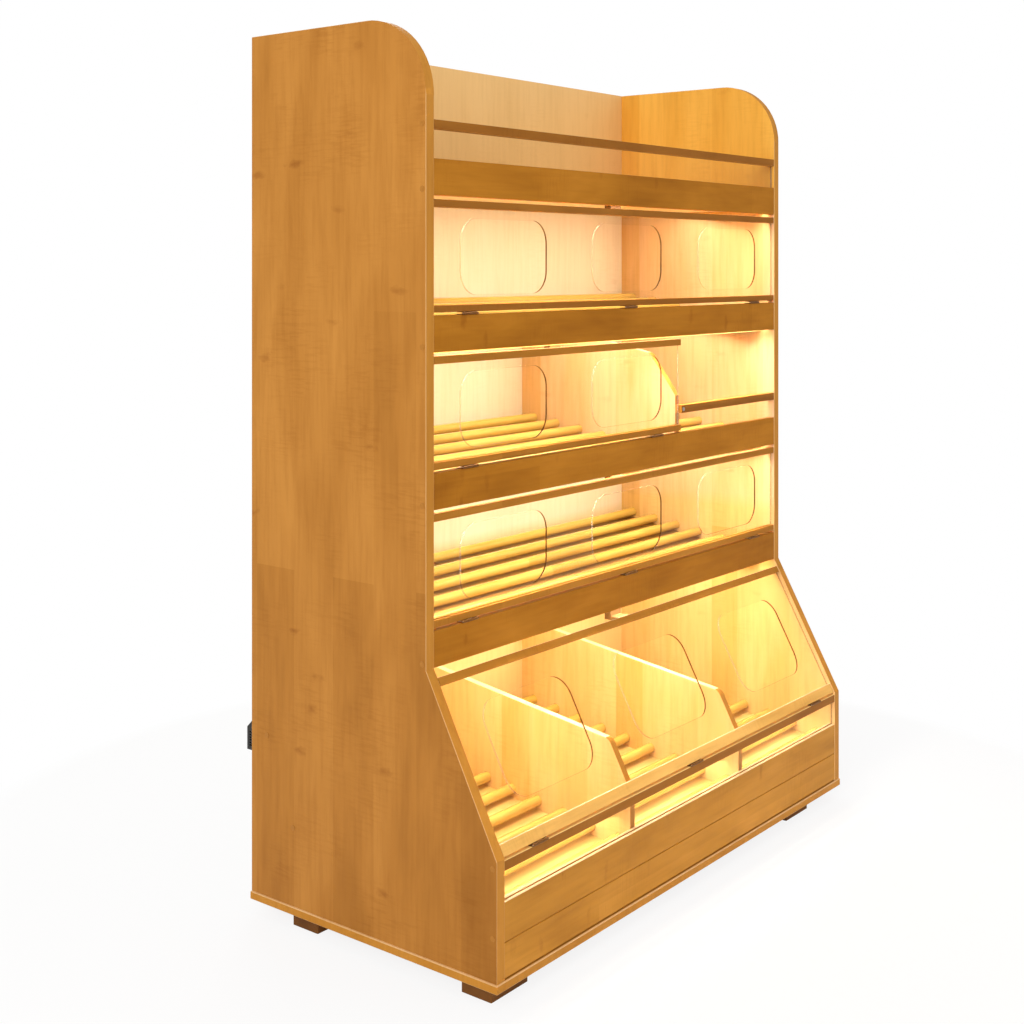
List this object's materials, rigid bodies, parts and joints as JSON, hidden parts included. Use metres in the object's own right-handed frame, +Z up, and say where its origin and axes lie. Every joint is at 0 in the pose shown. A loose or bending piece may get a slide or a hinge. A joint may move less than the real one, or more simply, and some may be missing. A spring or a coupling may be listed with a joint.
{
  "type": "bread display shelf",
  "caption": "Free-standing wooden bread display cabinet with sloped rod tiers, clear flap doors, a top tray, a plinth and lighting behind its fascias.",
  "frame": {"origin": "on the floor, under the middle of the overall outline", "axes": "+Z up, -Y is the front with the flaps, +X is to the right when looking along +Y"},
  "size_m": [1.504, 0.7478, 1.955],
  "materials": {
    "maple_board": "wood-look board, vertical plank figure",
    "pale_board": "pale cream-maple board",
    "front_board": "darker maple board, horizontal grain",
    "front_rail": "brown rail, horizontal grain",
    "rod_wood": "smooth turned rod",
    "dark_foot": "dark stained block",
    "clear_acrylic": "clear acrylic sheet",
    "led_channel": "anodised channel",
    "led_diffuser": "warm white diffuser",
    "black_housing": "black sheet metal",
    "black_plastic": "black nylon",
    "cap_plastic": "board-coloured cap",
    "steel_screw": "zinc-plated steel",
    "catch_plastic": "white plastic",
    "hinge_bronze": "dark bronze"
  },
  "bodies": {
    "cabinet": {"back_panel": "pale_board", "back_panel_screws": "steel_screw", "base_board": "maple_board", "bay_guard_bar": "front_rail", "cable_gland": "black_plastic", "carcass_screws": "steel_screw", "cover_caps": "cap_plastic", "first_tier_crumb_board": "pale_board", "first_tier_rods": "rod_wood", "fixed_lower_rail": "front_rail", "foot_blocks": "dark_foot", "fourth_fascia": "front_board", "fourth_tier_crumb_board": "pale_board", "fourth_tier_divider_left": "pale_board", "fourth_tier_divider_right": "pale_board", "fourth_tier_rods": "rod_wood", "hinge_fixed_leaves": "hinge_bronze", "hinge_pins": "hinge_bronze", "led_diffusers": "led_diffuser", "led_profiles": "led_channel", "lower_window_pane": "clear_acrylic", "magnetic_catches": "catch_plastic", "plinth_lower_board": "front_board", "plinth_upper_board": "front_board", "power_supply_housing": "black_housing", "second_fascia": "front_board", "second_tier_crumb_board": "pale_board", "second_tier_divider": "pale_board", "second_tier_rods": "rod_wood", "side_panel_left": "maple_board", "side_panel_right": "maple_board", "third_fascia": "front_board", "third_tier_crumb_board": "pale_board", "third_tier_rods": "rod_wood", "top_board": "pale_board", "top_fascia": "front_board", "top_guard_pane": "clear_acrylic", "top_guard_rail": "front_rail"},
    "flap_1": {"flap_1_handle_rail": "front_rail", "flap_1_pane": "clear_acrylic", "flap_1_hinge_rail": "front_rail", "flap_1_hinge_leaves": "hinge_bronze", "flap_1_strike_plate": "steel_screw"},
    "flap_2": {"flap_2_handle_rail": "front_rail", "flap_2_pane": "clear_acrylic", "flap_2_hinge_rail": "front_rail", "flap_2_hinge_leaves": "hinge_bronze", "flap_2_strike_plate": "steel_screw"},
    "flap_3": {"flap_3_handle_rail": "front_rail", "flap_3_pane": "clear_acrylic", "flap_3_hinge_rail": "front_rail", "flap_3_hinge_leaves": "hinge_bronze", "flap_3_strike_plate": "steel_screw"},
    "flap_4": {"flap_4_handle_rail": "front_rail", "flap_4_pane": "clear_acrylic", "flap_4_hinge_rail": "front_rail", "flap_4_hinge_leaves": "hinge_bronze", "flap_4_strike_plate": "steel_screw"}
  },
  "joints": [
    {"name": "flap_1_hinge", "type": "hinge", "parent": "cabinet", "child": "flap_1", "pos_m": [0, -0.1891, 1.346], "axis": [1, 0, 0], "range_deg": [0, 170]},
    {"name": "flap_2_hinge", "type": "hinge", "parent": "cabinet", "child": "flap_2", "pos_m": [0, -0.1891, 1.026], "axis": [1, 0, 0], "range_deg": [0, 170]},
    {"name": "flap_3_hinge", "type": "hinge", "parent": "cabinet", "child": "flap_3", "pos_m": [0, -0.1891, 0.706], "axis": [1, 0, 0], "range_deg": [0, 150]},
    {"name": "flap_4_hinge", "type": "hinge", "parent": "cabinet", "child": "flap_4", "pos_m": [0, -0.3711, 0.287], "axis": [1, 0, 0], "range_deg": [0, 155]}
  ]
}
